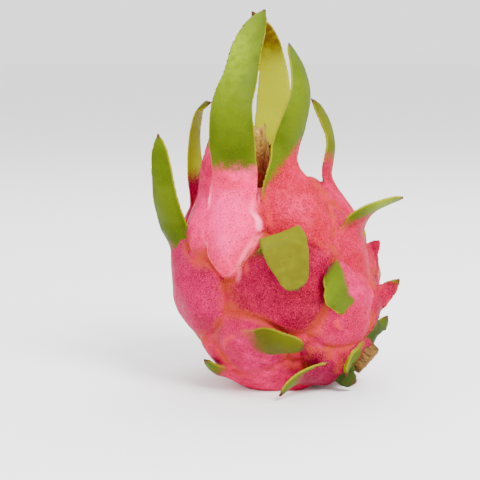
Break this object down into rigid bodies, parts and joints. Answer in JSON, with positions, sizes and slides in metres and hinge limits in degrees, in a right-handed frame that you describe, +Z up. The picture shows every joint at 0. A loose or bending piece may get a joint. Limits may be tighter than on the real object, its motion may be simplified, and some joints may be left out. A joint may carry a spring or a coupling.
{
  "type": "dragon fruit",
  "caption": "Whole dragon fruit: an egg-shaped pink fruit with fleshy green-tipped bracts, a cut stem stub and a withered flower at its crown, upright on a flat spot",
  "frame": {"origin": "the middle of the flat spot that the fruit rests on", "axes": "+Z is up, from the resting spot to the crown; -Y is the side seen best in the picture; +X is its right, where the stem stub points"},
  "size_m": [0.1067, 0.1048, 0.1625],
  "materials": {
    "peel": "waxy skin, satin",
    "stem_wood": "fibrous, matt",
    "dried_flower": "papery, matt"
  },
  "bodies": {
    "root": {"fruit": "peel", "stem_stub": "stem_wood", "dried_flower": "dried_flower"}
  },
  "joints": []
}
